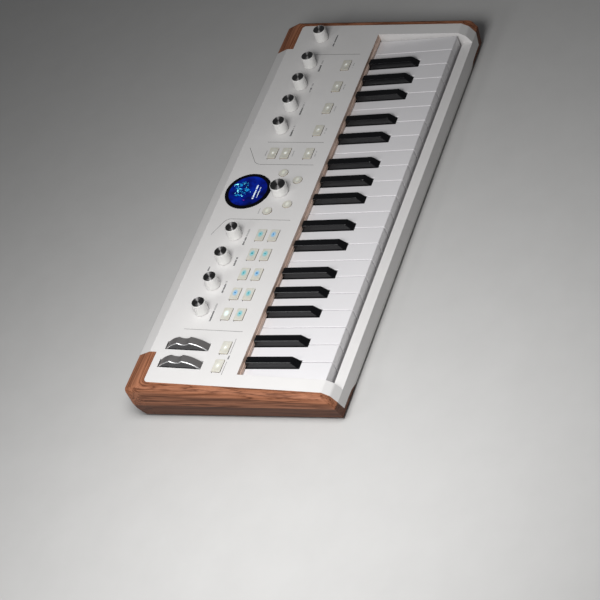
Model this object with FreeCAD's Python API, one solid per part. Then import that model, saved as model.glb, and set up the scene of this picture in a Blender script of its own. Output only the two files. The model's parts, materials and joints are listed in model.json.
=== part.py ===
import FreeCAD, Part
import math, os

# Compact desktop synthesizer with 37 slim keys, in millimetres.
# X runs from the bass end to the treble end, Y from the player to the rear
# connectors, Z up. The origin is on the table, under the middle of the case.

V = FreeCAD.Vector

# Case envelope
CASE_W = 500.0            # over the wooden cheeks
CASE_D = 206.0
FRONT_Y = -CASE_D / 2
BACK_Y = CASE_D / 2
BASE_Z = 3.3              # underside of the case, held up by the feet
SPLIT_Z = 6.0             # joint between the upper shell and the bottom tray
WALL = 2.6
TILT = 4.5                # fall of the control panel towards the player, degrees
END_R = 6.0               # rounding of the upper edges at both ends
CHEEK_X = 241.5           # inner face of the wooden cheeks
CHEEK_LOW_X = 236.5       # the cheeks thicken downwards, below CHEEK_LOW_Z
CHEEK_LOW_Z = 19.5
TOE_Z = 6.9               # strip of wood under the front corners of the case
TOE_Y = -97.5
ARM_X = 206.0             # the cheeks wrap the rear corners up to here
ARM_Y = 82.3

# Keyboard
PITCH = 20.5              # white key spacing
KEY_GAP = 0.8
KEY_TOP = 31.0            # playing surface
KEY_FRONT = -90.4
WHITES = 22
KEYS_W = WHITES * PITCH
BED_X = KEYS_W / 2 + 1.5  # half width of the opening for the keys
SLIP_TOP = 19.8           # ledge in front of the keys
SLIP_Y = -92.5            # its inner edge
BLACK_BASE = 9.4
BLACK_TOP = 7.6
BLACK_RISE = 6.5
BLACK_LEN_FRONT = 31.2    # black key nose, behind the white key fronts
CAP_END = 83.2            # rear end of the black caps, just in front of the trim
PIVOT_Y = KEY_FRONT + 104.0
PIVOT_Z = 26.0
ROD_R = 1.5
BORE_R = 1.56
KEY_END = KEY_FRONT + 110.0
BODY_END = KEY_FRONT + 88.0    # the key bodies end here, the arms go on to the rod
SHANK_PITCH = 7 * PITCH / 12
SHANK_W = 9.6
OCTAVE = ("c", "cs", "d", "ds", "e", "f", "fs", "g", "gs", "a", "as", "b")
BLACK_SHIFT = {"cs": (1, -2.5), "ds": (2, 2.5), "fs": (4, -3.3), "gs": (5, -0.2), "as": (6, 3.4)}

# Control panel, in its own tilted frame: u along X, v up the slope from the
# line over the key fronts, h square to the surface
PANEL_Z0 = 33.1
PANEL_FRONT_V = 84.9
BOARD_TOP = -6.6
BOARD_T = 1.6
KNOB_V = 145.4
BUTTON_V = 106.1
MACRO_U = -107.3
FX_U = 133.2
KNOB_STEP = 31.9
PAD_STEP = 24.9
PAD_ROW = 13.5
BUTTON_W = 14.6
BUTTON_L = 8.8
VOLUME_U = 221.3
ENCODER_V = 118.3
DISPLAY_V = 152.9
DISPLAY_R = 23.6
KNOB_R = 6.9
KNOB_H = 13.0
ENCODER_R = 8.4
ENCODER_H = 10.4
SHAFT_R = 3.0
STANDOFFS = ((-172, 162), (-37, 162), (37, 162), (197, 162), (-172, 97), (-37, 97), (68, 97), (197, 97))
ROUND_R = 4.7
ROUND_AT = ((25.7, 123.8), (16.4, 105.9), (-16.4, 105.9), (-25.7, 123.8))
PITCH_WHEEL_U = -218.7
MOD_WHEEL_U = -197.3
WHEEL_V = 144.2
WHEEL_R = 28.6
WHEEL_DEPTH = 19.6        # wheel axle below the panel surface
WHEEL_W = 8.6
SLOT_W = 9.8

# Rear connectors: name, X, bore radius, bushing radius
SOCKETS = (("headphones", 176.0, 3.2, 5.4), ("line_right", 150.0, 3.2, 5.4),
           ("line_left", 124.0, 3.2, 5.4), ("audio_in", 92.0, 3.2, 5.4),
           ("expression", 60.0, 3.2, 5.4), ("sustain", 34.0, 3.2, 5.4),
           ("midi_out", 6.0, 1.8, 3.4), ("midi_in", -12.0, 1.8, 3.4),
           ("power_in", -112.0, 2.8, 4.4))
SOCKET_Z = 32.0
SOCKET_DEEP = 15.0
JACK_BOARD_TOP = 25.2


def box(x0, x1, y0, y1, z0, z1):
    return Part.makeBox(x1 - x0, y1 - y0, z1 - z0, V(x0, y0, z0))


def prism_x(points, x0, x1):
    """Solid with a Y-Z outline, from x0 to x1."""
    loop = [V(x0, y, z) for y, z in points]
    return Part.Face(Part.makePolygon(loop + loop[:1])).extrude(V(x1 - x0, 0, 0))


def cylinder(x, y, z, r, length, axis):
    return Part.makeCylinder(r, length, V(x, y, z), V(*axis))


def fuse(shapes):
    solid = shapes[0]
    if len(shapes) > 1:
        solid = solid.multiFuse(shapes[1:])
    return solid.removeSplitter()


def polyhedron(low, high):
    """Solid between two four-sided rings of corners."""
    faces = [list(reversed(low)), high]
    for i in range(4):
        j = (i + 1) % 4
        faces.append([low[i], low[j], high[j], high[i]])
    solid = Part.Solid(Part.Shell([Part.Face(Part.makePolygon(f + f[:1])) for f in faces]))
    if solid.Volume < 0:
        solid.reverse()
    return solid


def on_panel(shape):
    """Move a shape from the panel's own frame to its place on the case."""
    place = FreeCAD.Placement(V(0, KEY_FRONT, PANEL_Z0), FreeCAD.Rotation(V(1, 0, 0), TILT))
    moved = shape.copy()
    moved.Placement = place.multiply(moved.Placement)
    return moved


def top_z(y):
    return PANEL_Z0 + (y - KEY_FRONT) * math.tan(math.radians(TILT))


def knob_centres():
    """Name, u and v of the nine endless or turning knobs."""
    row = [("macro_knob_%d" % (i + 1), MACRO_U + (i - 1.5) * KNOB_STEP, KNOB_V) for i in range(4)]
    row += [("fx_knob_%d" % (i + 1), FX_U + (i - 1.5) * KNOB_STEP, KNOB_V) for i in range(4)]
    return row + [("volume_knob", VOLUME_U, KNOB_V)]


def rect_buttons():
    """Centres of the rectangular buttons."""
    spots = [(PITCH_WHEEL_U + 0.3, BUTTON_V + 0.4), (MOD_WHEEL_U + 0.3, BUTTON_V + 0.4)]
    for i in range(5):
        for j in range(2):
            spots.append((MACRO_U + (i - 2) * PAD_STEP, BUTTON_V + j * PAD_ROW))
    spots += [(FX_U - 0.6 + (i - 1.5) * 31.7, BUTTON_V) for i in range(4)]
    return spots + [(52.7, BUTTON_V), (52.7, 130.6), (52.7, 144.2)]


# Envelope of the whole case

def hull():
    """Outline of the case, with undercut sides and rounded edges."""
    front, back = KEY_FRONT - 1.0, BACK_Y - 13.8
    corners = [(FRONT_Y, BASE_Z), (FRONT_Y, SLIP_TOP), (FRONT_Y + 4.6, 28.4), (front, top_z(front)),
               (back, top_z(back)), (BACK_Y, top_z(back) - 5.4), (BACK_Y, 24.0), (BACK_Y - 5.5, BASE_Z)]
    body = prism_x(corners, -CASE_W / 2, CASE_W / 2)
    for (y, z), r in zip(corners[1:6], (1.0, 6.0, 3.0, 2.0, 2.0)):
        edge = [e for e in body.Edges if abs(e.CenterOfMass.x) < 1
                and math.hypot(e.CenterOfMass.y - y, e.CenterOfMass.z - z) < 0.1]
        body = body.makeFillet(r, edge)
    ends = [e for e in body.Edges if abs(abs(e.CenterOfMass.x) - CASE_W / 2) < 0.01
            and e.CenterOfMass.z > 12.5]
    rounded = body.makeFillet(END_R, ends)
    # the rounding of the end edges runs straight on to the front, where the corners are crisp
    block = Part.makeBox(CASE_W, 260, 80, V(-CASE_W / 2, -40, -80))
    rims = [e for e in block.Edges if abs(e.tangentAt(0).y) > 0.9 and e.CenterOfMass.z > -1]
    crisp = body.common(on_panel(block.makeFillet(END_R, rims)))
    seam = KEY_FRONT + 8
    half = CASE_W / 2
    low = [V(-half + 7.0, FRONT_Y - 1, BASE_Z - 6), V(-half, FRONT_Y - 1, 20.5),
           V(-half, FRONT_Y - 1, 70), V(half, FRONT_Y - 1, 70), V(half, FRONT_Y - 1, 20.5),
           V(half - 7.0, FRONT_Y - 1, BASE_Z - 6)]
    section = Part.Face(Part.makePolygon(low + low[:1])).extrude(V(0, CASE_D + 2, 3.5))
    front_part = crisp.common(box(-half, half, FRONT_Y - 5, seam, 0, 80)).common(section)
    rear_part = rounded.common(box(-half, half, seam, BACK_Y + 5, 0, 80)).common(section)
    return fuse([front_part, rear_part])


def cheek_zone(side):
    """Region of the envelope that is wood, at one end of the case."""
    zone = box(CHEEK_X, 260, FRONT_Y - 5, BACK_Y + 5, 0, 70)
    slant = [V(CHEEK_X, FRONT_Y - 5, CHEEK_LOW_Z), V(CHEEK_LOW_X + 0.8, FRONT_Y - 5, TOE_Z),
             V(CHEEK_LOW_X, FRONT_Y - 5, SPLIT_Z), V(CHEEK_LOW_X, FRONT_Y - 5, 0),
             V(260, FRONT_Y - 5, 0), V(260, FRONT_Y - 5, CHEEK_LOW_Z)]
    low = Part.Face(Part.makePolygon(slant + slant[:1])).extrude(V(0, CASE_D + 10, 0))
    strip = ((ARM_X, 0), (ARM_X, BASE_Z), (ARM_X + 9, TOE_Z - 0.6), (ARM_X + 18, TOE_Z), (260, TOE_Z), (260, 0))
    wedge = [V(x, FRONT_Y - 5, z) for x, z in strip]
    toe = Part.Face(Part.makePolygon(wedge + wedge[:1])).extrude(V(0, TOE_Y - FRONT_Y + 5, 0))
    arm = box(ARM_X, CHEEK_X + 5, ARM_Y, BACK_Y + 5, 0, 70)
    r = 4.0
    corner = box(CHEEK_X - r, CHEEK_X + 1, ARM_Y - r, ARM_Y + 1, 0, 70)
    corner = corner.cut(cylinder(CHEEK_X - r, ARM_Y - r, 0, r, 70, (0, 0, 1)))
    zone = fuse([zone, low, toe, arm, corner])
    if side < 0:
        zone = zone.mirror(V(0, 0, 0), V(1, 0, 0))
    return zone


def cheek(envelope, side):
    """Wooden end cheek, hollow behind the part that wraps the rear corner."""
    wood = envelope.common(cheek_zone(side))
    roof = top_z(ARM_Y) - 6.0
    outline = [(ARM_Y - 5, SPLIT_Z), (ARM_Y - 5, roof), (BACK_Y - 13, roof), (BACK_Y - 8, 34),
               (BACK_Y - 8, 24), (BACK_Y - 13, SPLIT_Z)]
    reach = CHEEK_LOW_X - 0.5
    room = prism_x(outline, 0, reach) if side > 0 else prism_x(outline, -reach, 0)
    return wood.cut(room).removeSplitter()


def inner_profile():
    """Side outline of the hollow inside the upper shell."""
    z1 = top_z(KEY_FRONT - 1.0)
    back = top_z(BACK_Y - 13.8)
    return [(FRONT_Y + WALL, 0), (FRONT_Y + WALL, z1 - 13.2), (KEY_FRONT + 0.2, z1 - WALL - 0.1),
            (BACK_Y - 14.2, back - WALL - 0.1), (BACK_Y - WALL - 0.6, back - 8.2),
            (BACK_Y - WALL, 24.4), (BACK_Y - 5.5 - WALL, 0)]


def screw_spots():
    front = [(x, FRONT_Y + 6.6) for x in (-198.0, -70.0, 70.0, 198.0)]
    return front + [(x, 88.0) for x in (-190.0, -55.5, 20.0, 196.0)]


def panel_cutters():
    """Holes in the control panel, in the panel frame."""
    cuts = []
    for name, u, v in knob_centres():
        cuts.append(cylinder(u, v, -8, 5.0, 16, (0, 0, 1)))
    cuts.append(cylinder(0, ENCODER_V, -8, 5.0, 16, (0, 0, 1)))
    for u, v in rect_buttons():
        w, l = BUTTON_W / 2 + 0.35, BUTTON_L / 2 + 0.35
        hole = box(u - w, u + w, v - l, v + l, -8, 8)
        cuts.append(hole.makeFillet(1.1, [e for e in hole.Edges if abs(e.tangentAt(0).z) > 0.9]))
    for u, v in ROUND_AT:
        cuts.append(cylinder(u, v, -8, ROUND_R + 0.35, 16, (0, 0, 1)))
    cuts.append(cylinder(0, DISPLAY_V, -8, DISPLAY_R - 1.3, 16, (0, 0, 1)))
    cuts.append(cylinder(0, DISPLAY_V, -1.2, DISPLAY_R + 0.12, 8, (0, 0, 1)))
    for u in (PITCH_WHEEL_U, MOD_WHEEL_U):
        cuts.append(cylinder(u - SLOT_W / 2, WHEEL_V, -WHEEL_DEPTH, WHEEL_R + 0.8, SLOT_W, (1, 0, 0)))
    return [on_panel(c) for c in cuts]


def rear_openings():
    """Openings through the rear wall for the connectors."""
    cuts = [cylinder(x, BACK_Y - 12, SOCKET_Z, bush + 0.15, 14, (0, 1, 0)) for name, x, r, bush in SOCKETS]
    cuts.append(box(-46.6, -37.4, BACK_Y - 12, BACK_Y + 1, SOCKET_Z - 1.8, SOCKET_Z + 1.8))
    cuts.append(box(-78.2, -64.8, BACK_Y - 12, BACK_Y + 1, SOCKET_Z - 3.1, SOCKET_Z + 3.1))
    cuts.append(box(-150.4, -137.6, BACK_Y - 12, BACK_Y + 1, SOCKET_Z - 3.4, SOCKET_Z + 3.4))
    return cuts


def top_case(envelope):
    """White upper shell: control panel, side rails, key ledge and rear wall."""
    shell = envelope.common(box(-CHEEK_X, CHEEK_X, -200, 200, SPLIT_Z, 80))
    for side in (-1, 1):
        shell = shell.cut(cheek_zone(side))
    room = prism_x(inner_profile(), -CHEEK_X + WALL, CHEEK_X - WALL)
    deck = box(-300, 300, KEY_FRONT + PANEL_FRONT_V + WALL, 200, 0, 80)
    rails = [box(-300, -BED_X - 2.0, -200, 200, 0, 80), box(BED_X + 2.0, 300, -200, 200, 0, 80)]
    shell = shell.cut(room.common(fuse([deck] + rails)))
    shell = shell.cut(box(-BED_X, BED_X, FRONT_Y + WALL, SLIP_Y + 40, 0, SLIP_TOP - WALL))
    shell = shell.cut(box(-BED_X, BED_X, FRONT_Y - 1, SLIP_Y + 0.01, SLIP_TOP, 80))
    shell = shell.cut(box(-BED_X, BED_X, SLIP_Y, KEY_FRONT + PANEL_FRONT_V - 0.3, 0, 80))
    shell = shell.cut(box(-BED_X, BED_X, -10, KEY_FRONT + PANEL_FRONT_V + WALL + 0.01, 0, 35.5))
    bosses = []
    for x, y in screw_spots():
        top = SLIP_TOP - 1.0 if y < 0 else top_z(y) - 1.5
        bosses.append(cylinder(x, y, SPLIT_Z, 3.6, top - SPLIT_Z, (0, 0, 1)))
    for u, v in STANDOFFS:
        bosses.append(on_panel(cylinder(u, v, BOARD_TOP, 2.4, -BOARD_TOP - 1.5, (0, 0, 1))))
    shell = fuse([shell] + bosses)
    pilots = [cylinder(x, y, 0, 1.5, 16, (0, 0, 1)) for x, y in screw_spots()]
    for cutter in panel_cutters() + rear_openings() + pilots:
        shell = shell.cut(cutter)
    return shell.removeSplitter()


def bottom_case(envelope):
    """Bottom tray with screw holes, and the uprights on it that carry the wheels and boards."""
    tray = envelope.common(box(-CHEEK_LOW_X, CHEEK_LOW_X, -200, 200, 0, SPLIT_Z))
    for side in (-1, 1):
        tray = tray.cut(cheek_zone(side))
    for x, y in screw_spots():
        tray = tray.cut(cylinder(x, y, 0, 1.8, 10, (0, 0, 1)))
        tray = tray.cut(cylinder(x, y, 0, 3.3, BASE_Z + 1.3, (0, 0, 1)))
    parts = [tray.removeSplitter()]
    y, z = wheel_axle()
    hole = cylinder(PITCH_WHEEL_U - 20, y, z, 2.05, 60, (1, 0, 0))
    for x in (PITCH_WHEEL_U - 7.4, (PITCH_WHEEL_U + MOD_WHEEL_U) / 2, MOD_WHEEL_U + 7.4):
        wide = 2.6 if x < PITCH_WHEEL_U or x > MOD_WHEEL_U else 7.2
        post = prism_x([(y - 12, SPLIT_Z), (y - 5, z + 5), (y + 5, z + 5), (y + 12, SPLIT_Z)],
                       x - wide / 2, x + wide / 2)
        parts.append(post.cut(hole))
    for x in (-140.0, -25.0, 110.0, 180.0):
        parts.append(box(x - 3, x + 3, 75, 81, SPLIT_Z, 23.6))
    return Part.makeCompound(parts)


def feet():
    spots = [(sx * 214.0, y) for sx in (-1, 1) for y in (-84.0, 78.0)]
    pads = []
    for x, y in spots:
        pad = cylinder(x, y, 0, 8.0, BASE_Z, (0, 0, 1))
        pads.append(pad.makeChamfer(0.8, [pad.Edges[2]]))
    return Part.makeCompound(pads)


def screws():
    out = []
    for x, y in screw_spots():
        head = cylinder(x, y, BASE_Z + 0.1, 2.9, 1.2, (0, 0, 1))
        out.append(fuse([head, cylinder(x, y, BASE_Z + 1.0, 1.5, 11.0, (0, 0, 1))]))
    return Part.makeCompound(out)


def panel_trim():
    """Walnut strip between the keys and the panel's front lip."""
    y = KEY_FRONT + 84.2
    return box(-BED_X + 0.1, BED_X - 0.1, y, y + 3.0, KEY_TOP + 0.9, 35.45)


# Keys

def note_names():
    names = []
    for i in range(37):
        names.append((OCTAVE[i % 12], 1 + i // 12))
    return names


def shank_x(index):
    return -KEYS_W / 2 + (index + 0.5) * SHANK_PITCH


def black_x(note, octave):
    boundary, shift = BLACK_SHIFT[note]
    return -KEYS_W / 2 + ((octave - 1) * 7 + boundary) * PITCH + shift


def shank(index, left, right):
    """Rear arm of a key, with the bore for the hinge rod, and its neck to the key body."""
    x = shank_x(index)
    x0, x1 = x - SHANK_W / 2, x + SHANK_W / 2
    neck = box(max(left, x0), min(right, x1), BODY_END - 2.0, BODY_END + 1.0, PIVOT_Z - 4, PIVOT_Z + 4)
    arm = fuse([neck, box(x0, x1, BODY_END + 0.4, KEY_END, PIVOT_Z - 4, PIVOT_Z + 4)])
    return arm.cut(cylinder(x - 10, PIVOT_Y, PIVOT_Z, BORE_R, 20, (1, 0, 0)))


def white_key(index, number, note, octave):
    left = -KEYS_W / 2 + number * PITCH + KEY_GAP / 2
    right = left + PITCH - KEY_GAP
    tail_l, tail_r = left, right
    names = [n for n, o in note_names()]
    if index > 0 and names[index - 1] in BLACK_SHIFT:
        tail_l = black_x(names[index - 1], 1 + (index - 1) // 12) + BLACK_BASE / 2 + 0.6
    if index < 36 and names[index + 1] in BLACK_SHIFT:
        tail_r = black_x(names[index + 1], 1 + (index + 1) // 12) - BLACK_BASE / 2 - 0.6
    y1 = KEY_FRONT + BLACK_LEN_FRONT - 0.6
    y2 = BODY_END
    head = box(left, right, KEY_FRONT, y1, KEY_TOP - 9, KEY_TOP)
    tail = box(tail_l, tail_r, y1 - 3, y2, KEY_TOP - 9, KEY_TOP)
    lip = box(left, right, KEY_FRONT, KEY_FRONT + 1.6, KEY_TOP - 16, KEY_TOP - 8)
    body = fuse([head, tail, lip])
    body = body.cut(box(left + 1.4, right - 1.4, KEY_FRONT + 1.6, y1 - 1.4, 0, KEY_TOP - 2.6))
    body = body.cut(box(tail_l + 1.3, tail_r - 1.3, y1 - 8, y2 - 2, 0, KEY_TOP - 2.6))
    rim = [e for e in body.Edges if abs(e.CenterOfMass.z - KEY_TOP) < 0.01 and e.CenterOfMass.y < y2 - 1]
    body = body.makeChamfer(0.35, rim)
    return fuse([body, shank(index, tail_l, tail_r)])


def black_key(index, note, octave):
    x = black_x(note, octave)
    a, b = BLACK_BASE / 2, BLACK_TOP / 2
    y0, y1 = KEY_FRONT + BLACK_LEN_FRONT, KEY_FRONT + CAP_END
    z0, z1 = KEY_TOP - 1.2, KEY_TOP + BLACK_RISE
    low = [V(x - a, y0, z0), V(x + a, y0, z0), V(x + a, y1, z0), V(x - a, y1, z0)]
    high = [V(x - b, y0 + 6.4, z1), V(x + b, y0 + 6.4, z1), V(x + b, y1, z1), V(x - b, y1, z1)]
    cap = polyhedron(low, high)
    crest = [e for e in cap.Edges if e.CenterOfMass.z > z0 + 0.5 and e.CenterOfMass.y < y1 - 0.5]
    cap = cap.makeChamfer(0.45, crest)
    skirt = box(x - a + 0.4, x + a - 0.4, y0 + 2.0, BODY_END, KEY_TOP - 9, z0 + 0.2)
    skirt = skirt.cut(box(x - a + 1.7, x + a - 1.7, y0 + 3.4, BODY_END - 2.0, 0, z0 - 1.6))
    return fuse([cap, skirt, shank(index, x - a + 0.4, x + a - 0.4)])


def key_frame():
    """Chassis under the keys, and the steel rod all the keys turn on."""
    y0, y1 = SLIP_Y + 3.0, KEY_END + 5.0
    base = box(-BED_X + 1.0, BED_X - 1.0, y0, y1, SPLIT_Z, SPLIT_Z + 1.5)
    ribs = [base]
    edges = [-KEYS_W / 2 + i * SHANK_PITCH for i in (6, 12, 18, 24, 30, 36)]
    for x in [-KEYS_W / 2 - 0.9] + edges + [KEYS_W / 2 + 0.9]:
        ribs.append(box(x - 0.55, x + 0.55, PIVOT_Y - 5, y1, SPLIT_Z, PIVOT_Z + 4.0))
    ribs.append(box(-BED_X + 1.0, BED_X - 1.0, y1 - 2.0, y1, SPLIT_Z, PIVOT_Z - 2.0))
    frame = fuse(ribs)
    frame = frame.cut(cylinder(-300, PIVOT_Y, PIVOT_Z, ROD_R, 600, (1, 0, 0)))
    rod = cylinder(-BED_X + 0.05, PIVOT_Y, PIVOT_Z, ROD_R, 2 * BED_X - 0.1, (1, 0, 0))
    return Part.makeCompound([frame, rod])


# Panel controls

def knob(u, v, radius, height):
    """Off-white turned body with a dark metal cap let into its top, on a steel shaft."""
    body = Part.makeCone(radius, radius - 0.35, height - 0.7, V(u, v, 0.7), V(0, 0, 1))
    top = [e for e in body.Edges if e.CenterOfMass.z > height - 0.1 and len(e.Vertexes) == 1]
    body = body.makeFillet(0.5, top)
    shaft = cylinder(u, v, BOARD_TOP + 0.4, SHAFT_R, 8.0, (0, 0, 1))
    return on_panel(fuse([body, shaft]))


def button_caps():
    """All the panel buttons: translucent caps of the silicone keypad."""
    caps = []
    for u, v in rect_buttons():
        w, l = BUTTON_W / 2, BUTTON_L / 2
        cap = box(u - w, u + w, v - l, v + l, -3.8, 0.7)
        upright = [e for e in cap.Edges if abs(e.tangentAt(0).z) > 0.9]
        cap = cap.makeFillet(0.9, upright)
        rim = [e for e in cap.Edges if abs(e.CenterOfMass.z - 0.7) < 0.01]
        cap = cap.makeChamfer(0.3, rim)
        caps.append(fuse([cap, box(u - w - 1.0, u + w + 1.0, v - l - 1.0, v + l + 1.0, -4.4, -3.0)]))
    for u, v in ROUND_AT:
        cap = cylinder(u, v, -3.8, ROUND_R, 4.6, (0, 0, 1))
        rim = [e for e in cap.Edges if abs(e.CenterOfMass.z - 0.8) < 0.01]
        cap = cap.makeFillet(0.35, rim)
        caps.append(fuse([cap, cylinder(u, v, -4.4, ROUND_R + 1.0, 1.4, (0, 0, 1))]))
    return Part.makeCompound([on_panel(c) for c in caps])


def wheel_axle():
    """Y and Z of the line both performance wheels turn on."""
    p = on_panel(Part.Vertex(0, WHEEL_V, -WHEEL_DEPTH)).Point
    return p.y, p.z


def wheel(u):
    """Half disc with a finger notch, a hub and an axle."""
    r, w = WHEEL_R, WHEEL_W
    disc = cylinder(u - w / 2, WHEEL_V, -WHEEL_DEPTH, r, w, (1, 0, 0))
    rims = [e for e in disc.Edges if len(e.Vertexes) == 1]
    disc = disc.makeFillet(1.0, rims)
    disc = disc.cut(box(u - 20, u + 20, WHEEL_V - 60, WHEEL_V + 60, -80, -WHEEL_DEPTH + 1.0))
    groove = cylinder(u - w, WHEEL_V + 1.9, -WHEEL_DEPTH + r + 6.2, 9.0, 2 * w, (1, 0, 0))
    disc = disc.cut(groove)
    lightening = box(u - w / 2 + 1.6, u + w / 2 - 1.6, WHEEL_V - 18, WHEEL_V + 18, -80, -WHEEL_DEPTH + 14)
    disc = disc.cut(lightening)
    hub = cylinder(u - w / 2, WHEEL_V, -WHEEL_DEPTH, 5.0, w, (1, 0, 0))
    axle = cylinder(u - 9.0, WHEEL_V, -WHEEL_DEPTH, 2.0, 18.0, (1, 0, 0))
    return on_panel(fuse([disc, hub, axle]))


def display_module():
    """Round glass set in the panel, over the housing of the colour screen."""
    lens = cylinder(0, DISPLAY_V, -1.2, DISPLAY_R, 1.7, (0, 0, 1))
    lens = lens.makeChamfer(0.4, [e for e in lens.Edges if e.CenterOfMass.z > 0.4 and len(e.Vertexes) == 1])
    can = cylinder(0, DISPLAY_V, -6.2, DISPLAY_R - 2.0, 5.0, (0, 0, 1))
    return on_panel(fuse([lens, can]))


# Electronics

def main_board():
    """Panel board with the bearings of the knobs and the switches of the buttons."""
    low = BOARD_TOP - BOARD_T
    board = fuse([box(-180, 236, 93, 167, low, BOARD_TOP), box(-232, -180, 98, 113, low, BOARD_TOP)])
    parts = [board]
    bores = []
    turners = [(u, v) for name, u, v in knob_centres()] + [(0, ENCODER_V)]
    for u, v in turners:
        parts.append(cylinder(u, v, BOARD_TOP - 0.1, 4.6, -BOARD_TOP + 0.3, (0, 0, 1)))
        bores.append(cylinder(u, v, low + 0.2, SHAFT_R + 0.06, 12, (0, 0, 1)))
    for u, v in rect_buttons() + list(ROUND_AT):
        parts.append(box(u - 1.8, u + 1.8, v - 1.8, v + 1.8, BOARD_TOP - 0.1, BOARD_TOP + 0.7))
    solid = fuse(parts)
    for bore in bores:
        solid = solid.cut(bore)
    return on_panel(solid)


def jack_board():
    """Rear board, without its connectors."""
    board = box(-156, 186, 72, BACK_Y - 5.0, 23.6, JACK_BOARD_TOP)
    for x, y in screw_spots():
        board = board.cut(cylinder(x, y, 20, 4.2, 10, (0, 0, 1)))
    return board


def rear_connectors():
    """Sockets and power button, each a solid of its own on the rear board."""
    face = BACK_Y - WALL - 1.2
    bodies = []
    for name, x, r, bush in SOCKETS:
        half = bush + 0.8
        body = box(x - half, x + half, BACK_Y - SOCKET_DEEP - 3.0, face, JACK_BOARD_TOP, SOCKET_Z + half)
        body = fuse([body, cylinder(x, BACK_Y - WALL - 3, SOCKET_Z, bush, WALL + 2.6, (0, 1, 0))])
        bodies.append(body.cut(cylinder(x, BACK_Y - SOCKET_DEEP, SOCKET_Z, r, 20, (0, 1, 0))))
    usb_c = box(-47.4, -36.6, 90, face, JACK_BOARD_TOP, SOCKET_Z + 2.8)
    usb_c = usb_c.cut(box(-46.6, -37.4, BACK_Y - 11.0, BACK_Y, SOCKET_Z - 1.7, SOCKET_Z + 1.7))
    tongue = box(-45.2, -38.8, BACK_Y - 11.5, BACK_Y - 5.5, SOCKET_Z - 0.35, SOCKET_Z + 0.35)
    bodies.append(fuse([usb_c, tongue]))
    usb_a = box(-79.4, -63.6, 84, face, JACK_BOARD_TOP, SOCKET_Z + 4.3)
    usb_a = usb_a.cut(box(-78.2, -64.8, BACK_Y - 17.0, BACK_Y, SOCKET_Z - 3.0, SOCKET_Z + 3.0))
    tongue = box(-77.2, -65.8, BACK_Y - 17.5, BACK_Y - 5.5, SOCKET_Z + 0.3, SOCKET_Z + 2.2)
    bodies.append(fuse([usb_a, tongue]))
    switch = box(-152.0, -136.0, 86, face, JACK_BOARD_TOP, SOCKET_Z + 4.6)
    bodies.append(fuse([switch, box(-150.0, -138.0, 96, BACK_Y - 0.6, SOCKET_Z - 3.0, SOCKET_Z + 3.0)]))
    return bodies


def key_board():
    """Contact board on the key chassis, under the rear half of the keys."""
    z = SPLIT_Z + 1.5
    return box(-BED_X + 6, BED_X - 6, -40, -6, z, z + 1.6)


def export(name, shape):
    shape.exportStep("parts/%s.step" % name)


os.makedirs("parts", exist_ok=True)
envelope = hull()
export("top_case", top_case(envelope))
export("bottom_case", bottom_case(envelope))
export("left_cheek", cheek(envelope, -1))
export("right_cheek", cheek(envelope, 1))
export("panel_trim", panel_trim())
export("feet", feet())
export("screws", screws())
export("key_frame", key_frame())
export("display_module", display_module())
export("circuit_boards", Part.makeCompound([main_board(), jack_board(), key_board()] + rear_connectors()))
export("button_caps", button_caps())
export("pitch_wheel", wheel(PITCH_WHEEL_U))
export("mod_wheel", wheel(MOD_WHEEL_U))
export("navigation_encoder", knob(0, ENCODER_V, ENCODER_R, ENCODER_H))
for knob_name, knob_u, knob_v in knob_centres():
    export(knob_name, knob(knob_u, knob_v, KNOB_R, KNOB_H))
white_number = 0
for key_index, (key_note, key_octave) in enumerate(note_names()):
    if key_note in BLACK_SHIFT:
        export("black_key_%s%d" % (key_note, key_octave), black_key(key_index, key_note, key_octave))
    else:
        export("white_key_%s%d" % (key_note, key_octave),
               white_key(key_index, white_number, key_note, key_octave))
        white_number += 1
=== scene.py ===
import json
import math
import random
import bmesh
import bpy
from mathutils import Matrix, Vector


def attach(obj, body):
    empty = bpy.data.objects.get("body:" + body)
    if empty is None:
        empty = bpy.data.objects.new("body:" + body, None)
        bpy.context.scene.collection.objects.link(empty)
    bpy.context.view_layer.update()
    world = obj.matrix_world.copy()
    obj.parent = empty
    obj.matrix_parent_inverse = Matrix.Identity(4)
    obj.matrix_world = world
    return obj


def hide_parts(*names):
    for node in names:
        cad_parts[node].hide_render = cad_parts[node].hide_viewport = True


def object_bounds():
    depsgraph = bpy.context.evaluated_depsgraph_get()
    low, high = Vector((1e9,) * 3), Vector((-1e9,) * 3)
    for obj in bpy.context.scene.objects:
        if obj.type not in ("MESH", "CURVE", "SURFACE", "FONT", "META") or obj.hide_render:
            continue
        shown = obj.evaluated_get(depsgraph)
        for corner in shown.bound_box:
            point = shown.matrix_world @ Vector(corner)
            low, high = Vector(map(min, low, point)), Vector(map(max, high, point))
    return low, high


# Looks of a compact desktop synthesizer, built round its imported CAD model.
# Everything is in metres in the model's own frame. MM turns millimetres into metres.

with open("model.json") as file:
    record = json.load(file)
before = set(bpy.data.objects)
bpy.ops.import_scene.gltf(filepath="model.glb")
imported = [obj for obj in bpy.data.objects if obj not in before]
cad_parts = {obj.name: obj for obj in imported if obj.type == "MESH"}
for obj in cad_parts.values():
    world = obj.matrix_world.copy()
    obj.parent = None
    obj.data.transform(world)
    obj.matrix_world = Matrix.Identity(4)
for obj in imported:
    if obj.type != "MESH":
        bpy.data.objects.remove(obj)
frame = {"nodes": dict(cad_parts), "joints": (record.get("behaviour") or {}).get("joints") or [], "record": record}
cad_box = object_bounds()
MM = 0.001
JOINTS = {joint["name"]: joint for joint in frame["joints"]}
NODES = frame["nodes"]

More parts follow.
